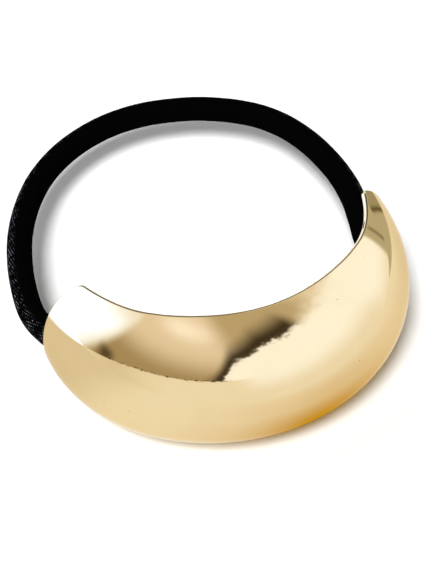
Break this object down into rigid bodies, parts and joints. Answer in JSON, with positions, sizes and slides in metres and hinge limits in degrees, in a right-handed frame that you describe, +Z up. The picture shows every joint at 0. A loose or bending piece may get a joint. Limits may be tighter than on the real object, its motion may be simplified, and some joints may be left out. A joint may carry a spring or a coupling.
{
  "type": "ponytail cuff",
  "caption": "Bowed shell of mirror-polished pale gold metal, C-shaped in section, closed at the back by a thick black covered elastic; worn round the base of a ponytail.",
  "frame": {"origin": "centre of the hair passage, level with the lower rim, on which the cuff stands", "axes": "+X across the cuff to the wearer's left, +Y from the shell to the elastic's back, +Z up through the passage; the shell's front faces -Y"},
  "size_m": [0.0648, 0.0773, 0.028],
  "materials": {
    "gold_metal": "polished",
    "black_elastic": "matte"
  },
  "bodies": {
    "root": {"cuff_shell": "gold_metal", "elastic": "black_elastic"}
  },
  "joints": []
}
